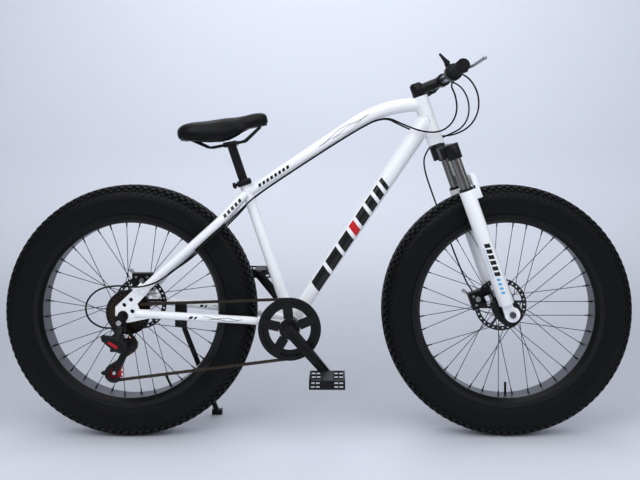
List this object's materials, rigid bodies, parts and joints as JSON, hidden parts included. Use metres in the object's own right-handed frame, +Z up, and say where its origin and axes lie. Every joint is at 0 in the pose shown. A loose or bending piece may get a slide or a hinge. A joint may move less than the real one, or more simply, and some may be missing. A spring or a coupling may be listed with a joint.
{
  "type": "fat tire bike",
  "caption": "Rigid-tail bicycle with oversize knobby tyres, bowed top tube, suspension fork, disc brakes, rear derailleur drive, padded saddle and side stand.",
  "frame": {"origin": "on the ground, midway between the two tyre contacts, in the wheels' middle plane", "axes": "+X forward along the wheelbase, +Y to the rider's left, +Z up; the drive side is -Y"},
  "size_m": [1.85, 0.68, 1.103],
  "materials": {
    "white_paint": "gloss enamel",
    "black_paint": "satin black",
    "rim_grey": "satin dark grey",
    "chrome": "polished",
    "steel": "brushed",
    "lever_alloy": "satin grey",
    "bronze_steel": "oiled bronze brown",
    "black_plastic": "moulded",
    "red_plastic": "moulded",
    "grip_rubber": "matte",
    "tyre": "matte with knobs",
    "saddle_cover": "satin synthetic cover"
  },
  "bodies": {
    "frame": {"head_tube": "white_paint", "top_tube": "white_paint", "down_tube": "white_paint", "seat_tube": "white_paint", "bottom_bracket": "black_paint", "seat_stays": "white_paint", "chainstays": "white_paint", "dropouts": "white_paint", "seat_clamp": "black_paint", "rear_caliper": "black_paint", "rear_axle": "steel", "kickstand_bracket": "black_paint", "derailleur_hanger": "black_paint", "rear_cables": "grip_rubber", "chain": "bronze_steel"},
    "steering": {"fork_crown": "black_paint", "stanchions": "chrome", "fork_springs": "steel", "stem": "black_paint", "handlebar": "black_paint", "grips": "grip_rubber", "bar_clamps": "black_plastic", "front_brake_cable": "grip_rubber"},
    "right_brake_lever": {"right_brake_lever": "lever_alloy"},
    "left_brake_lever": {"left_brake_lever": "lever_alloy"},
    "shift_lever": {"shift_lever": "black_plastic"},
    "fork_lowers": {"fork_lowers": "white_paint", "front_axle": "steel", "front_caliper": "black_paint"},
    "front_caliper_arm": {"front_caliper_arm": "black_paint"},
    "rear_caliper_arm": {"rear_caliper_arm": "black_paint"},
    "front_wheel": {"front_tire": "tyre", "front_inner_tube": "grip_rubber", "front_rim": "rim_grey", "front_spokes": "black_paint", "front_hub": "black_paint", "front_rotor": "steel"},
    "rear_wheel": {"rear_tire": "tyre", "rear_inner_tube": "grip_rubber", "rear_rim": "rim_grey", "rear_spokes": "black_paint", "rear_hub": "black_paint", "rear_rotor": "steel"},
    "freewheel": {"freewheel_cogs": "bronze_steel"},
    "cranks": {"crank_right": "black_paint", "chainring": "black_plastic", "crank_left": "black_paint"},
    "right_pedal": {"right_pedal": "black_plastic"},
    "left_pedal": {"left_pedal": "black_plastic"},
    "derailleur_outer_link": {"derailleur_outer_link": "black_paint"},
    "derailleur_inner_link": {"derailleur_inner_link": "black_paint"},
    "derailleur_knuckle": {"derailleur_knuckle": "black_paint"},
    "derailleur_cage": {"derailleur_cage": "black_paint"},
    "guide_pulley": {"guide_pulley": "red_plastic"},
    "tension_pulley": {"tension_pulley": "red_plastic"},
    "seatpost": {"seatpost": "black_paint", "saddle_base": "black_plastic", "saddle_pad": "saddle_cover"},
    "seat_clamp_lever": {"seat_clamp_lever": "black_paint"},
    "kickstand_leg": {"kickstand_leg": "black_paint"}
  },
  "joints": [
    {"name": "steering_turn", "type": "hinge", "parent": "frame", "child": "steering", "pos_m": [0.325, 0, 0.93], "axis": [-0.3338, 0, 0.9426], "range_deg": [-60, 60], "deforming": ["rear_cables", "front_brake_cable"]},
    {"name": "fork_travel", "type": "slide", "parent": "steering", "child": "fork_lowers", "axis": [-0.3338, 0, 0.9426], "range_m": [0, 0.08], "stiffness_N_per_m": 8000, "springref_m": -0.025, "deforming": ["fork_springs", "front_brake_cable"]},
    {"name": "front_wheel_spin", "type": "hinge", "parent": "fork_lowers", "child": "front_wheel", "pos_m": [0.555, 0, 0.37], "axis": [0, 1, 0], "continuous": true},
    {"name": "rear_wheel_spin", "type": "hinge", "parent": "frame", "child": "rear_wheel", "pos_m": [-0.555, 0, 0.37], "axis": [0, 1, 0], "continuous": true},
    {"name": "crank_spin", "type": "hinge", "parent": "frame", "child": "cranks", "pos_m": [-0.083, 0, 0.33], "axis": [0, 1, 0], "continuous": true, "deforming": ["chain"]},
    {"name": "freewheel_spin", "type": "hinge", "parent": "frame", "child": "freewheel", "pos_m": [-0.555, 0, 0.37], "axis": [0, 1, 0], "continuous": true, "deforming": ["chain"]},
    {"name": "right_pedal_spin", "type": "hinge", "parent": "cranks", "child": "right_pedal", "pos_m": [0.02525, -0.156, 0.20547], "axis": [0, 1, 0], "continuous": true},
    {"name": "left_pedal_spin", "type": "hinge", "parent": "cranks", "child": "left_pedal", "pos_m": [-0.19125, 0.156, 0.45453], "axis": [0, 1, 0], "continuous": true},
    {"name": "right_brake_pull", "type": "hinge", "parent": "steering", "child": "right_brake_lever", "pos_m": [0.40092, -0.156, 1.06191], "axis": [0.3338, 0, -0.9426], "range_deg": [0, 11.5], "stiffness_Nm_per_rad": 1, "springref_deg": -8.59},
    {"name": "left_brake_pull", "type": "hinge", "parent": "steering", "child": "left_brake_lever", "pos_m": [0.40092, 0.156, 1.06191], "axis": [-0.3338, 0, 0.9426], "range_deg": [0, 11.5], "stiffness_Nm_per_rad": 1, "springref_deg": -8.59},
    {"name": "rear_caliper_pull", "type": "hinge", "parent": "frame", "child": "rear_caliper_arm", "pos_m": [-0.559, 0.094, 0.446], "axis": [0, 1, 0], "range_deg": [0, 25]},
    {"name": "front_caliper_pull", "type": "hinge", "parent": "fork_lowers", "child": "front_caliper_arm", "pos_m": [0.47433, 0.073, 0.38811], "axis": [0, 1, 0], "range_deg": [0, 25]},
    {"name": "derailleur_shift", "type": "hinge", "parent": "frame", "child": "derailleur_outer_link", "pos_m": [-0.562, -0.112, 0.338], "axis": [1, 0, 0], "range_deg": [0, 60], "deforming": ["chain"]},
    {"name": "derailleur_inner_swing", "type": "hinge", "parent": "frame", "child": "derailleur_inner_link", "pos_m": [-0.562, -0.098, 0.333], "axis": [1, 0, 0], "range_deg": [0, 60]},
    {"name": "derailleur_knuckle_level", "type": "hinge", "parent": "derailleur_outer_link", "child": "derailleur_knuckle", "pos_m": [-0.562, -0.13805, 0.31615], "axis": [1, 0, 0], "range_deg": [-60, 0], "deforming": ["chain"]},
    {"name": "derailleur_cage_swing", "type": "hinge", "parent": "derailleur_knuckle", "child": "derailleur_cage", "pos_m": [-0.551, -0.1, 0.291], "axis": [0, 1, 0], "range_deg": [-20, 30], "deforming": ["chain"]},
    {"name": "guide_pulley_spin", "type": "hinge", "parent": "derailleur_cage", "child": "guide_pulley", "pos_m": [-0.543, -0.086, 0.285], "axis": [0, 1, 0], "continuous": true, "deforming": ["chain"]},
    {"name": "tension_pulley_spin", "type": "hinge", "parent": "derailleur_cage", "child": "tension_pulley", "pos_m": [-0.583, -0.086, 0.205], "axis": [0, 1, 0], "continuous": true, "deforming": ["chain"]},
    {"name": "thumb_shift", "type": "hinge", "parent": "steering", "child": "shift_lever", "pos_m": [0.35199, -0.185, 1.07726], "axis": [0, 1, 0], "range_deg": [0, 50]},
    {"name": "seat_height", "type": "slide", "parent": "frame", "child": "seatpost", "axis": [-0.3214, 0, 0.9469], "range_m": [-0.08, 0.035]},
    {"name": "seat_clamp_release", "type": "hinge", "parent": "frame", "child": "seat_clamp_lever", "pos_m": [-0.24968, -0.0204, 0.73702], "axis": [0.3214, 0, -0.9469], "range_deg": [0, 150]},
    {"name": "kickstand_fold", "type": "hinge", "parent": "frame", "child": "kickstand_leg", "pos_m": [-0.43, 0.092, 0.30635], "axis": [0, 1, 0], "range_deg": [0, 95]}
  ],
  "couplings": [
    {"joint": "freewheel_spin", "follows": "crank_spin", "ratio": 3},
    {"joint": "guide_pulley_spin", "follows": "crank_spin", "ratio": -3.8182},
    {"joint": "tension_pulley_spin", "follows": "crank_spin", "ratio": 3.8182},
    {"joint": "rear_caliper_pull", "follows": "right_brake_pull", "ratio": 2.15},
    {"joint": "front_caliper_pull", "follows": "left_brake_pull", "ratio": 2.15},
    {"joint": "derailleur_inner_swing", "follows": "derailleur_shift", "ratio": 1},
    {"joint": "derailleur_knuckle_level", "follows": "derailleur_shift", "ratio": -1},
    {"joint": "thumb_shift", "follows": "derailleur_shift", "ratio": 0.83}
  ]
}
